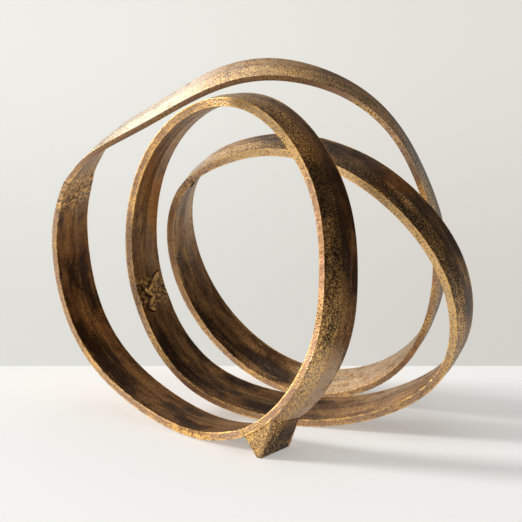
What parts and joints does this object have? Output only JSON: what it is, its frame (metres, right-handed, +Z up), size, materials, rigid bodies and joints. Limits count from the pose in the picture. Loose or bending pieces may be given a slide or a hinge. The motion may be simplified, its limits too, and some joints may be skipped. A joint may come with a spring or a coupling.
{
  "type": "metal knot sculpture",
  "caption": "Free-standing tabletop sculpture: a flat cast ribbon of antique brass that loops round and back into itself as an endless knot, on a small wedge foot",
  "frame": {"origin": "middle of the base of the overall box, on the table", "axes": "X runs to the right along the knot's greatest width, Y to the back along its least, Z up"},
  "size_m": [0.3648, 0.2426, 0.3219],
  "materials": {
    "antique_brass": "cast brass, darkened and rubbed back: warm gold where polished, brown in the pits and streaks",
    "weld_brass": "weld metal, hammered down and darkened with the castings"
  },
  "bodies": {
    "root": {"front_turn": "antique_brass", "middle_turn": "antique_brass", "rear_turn": "antique_brass", "top_sweep": "antique_brass", "left_sweep": "antique_brass", "wedge_foot": "antique_brass", "foot_weld": "weld_brass", "left_weld": "weld_brass", "inner_weld": "weld_brass", "right_weld": "weld_brass", "shoulder_weld": "weld_brass"}
  },
  "joints": []
}
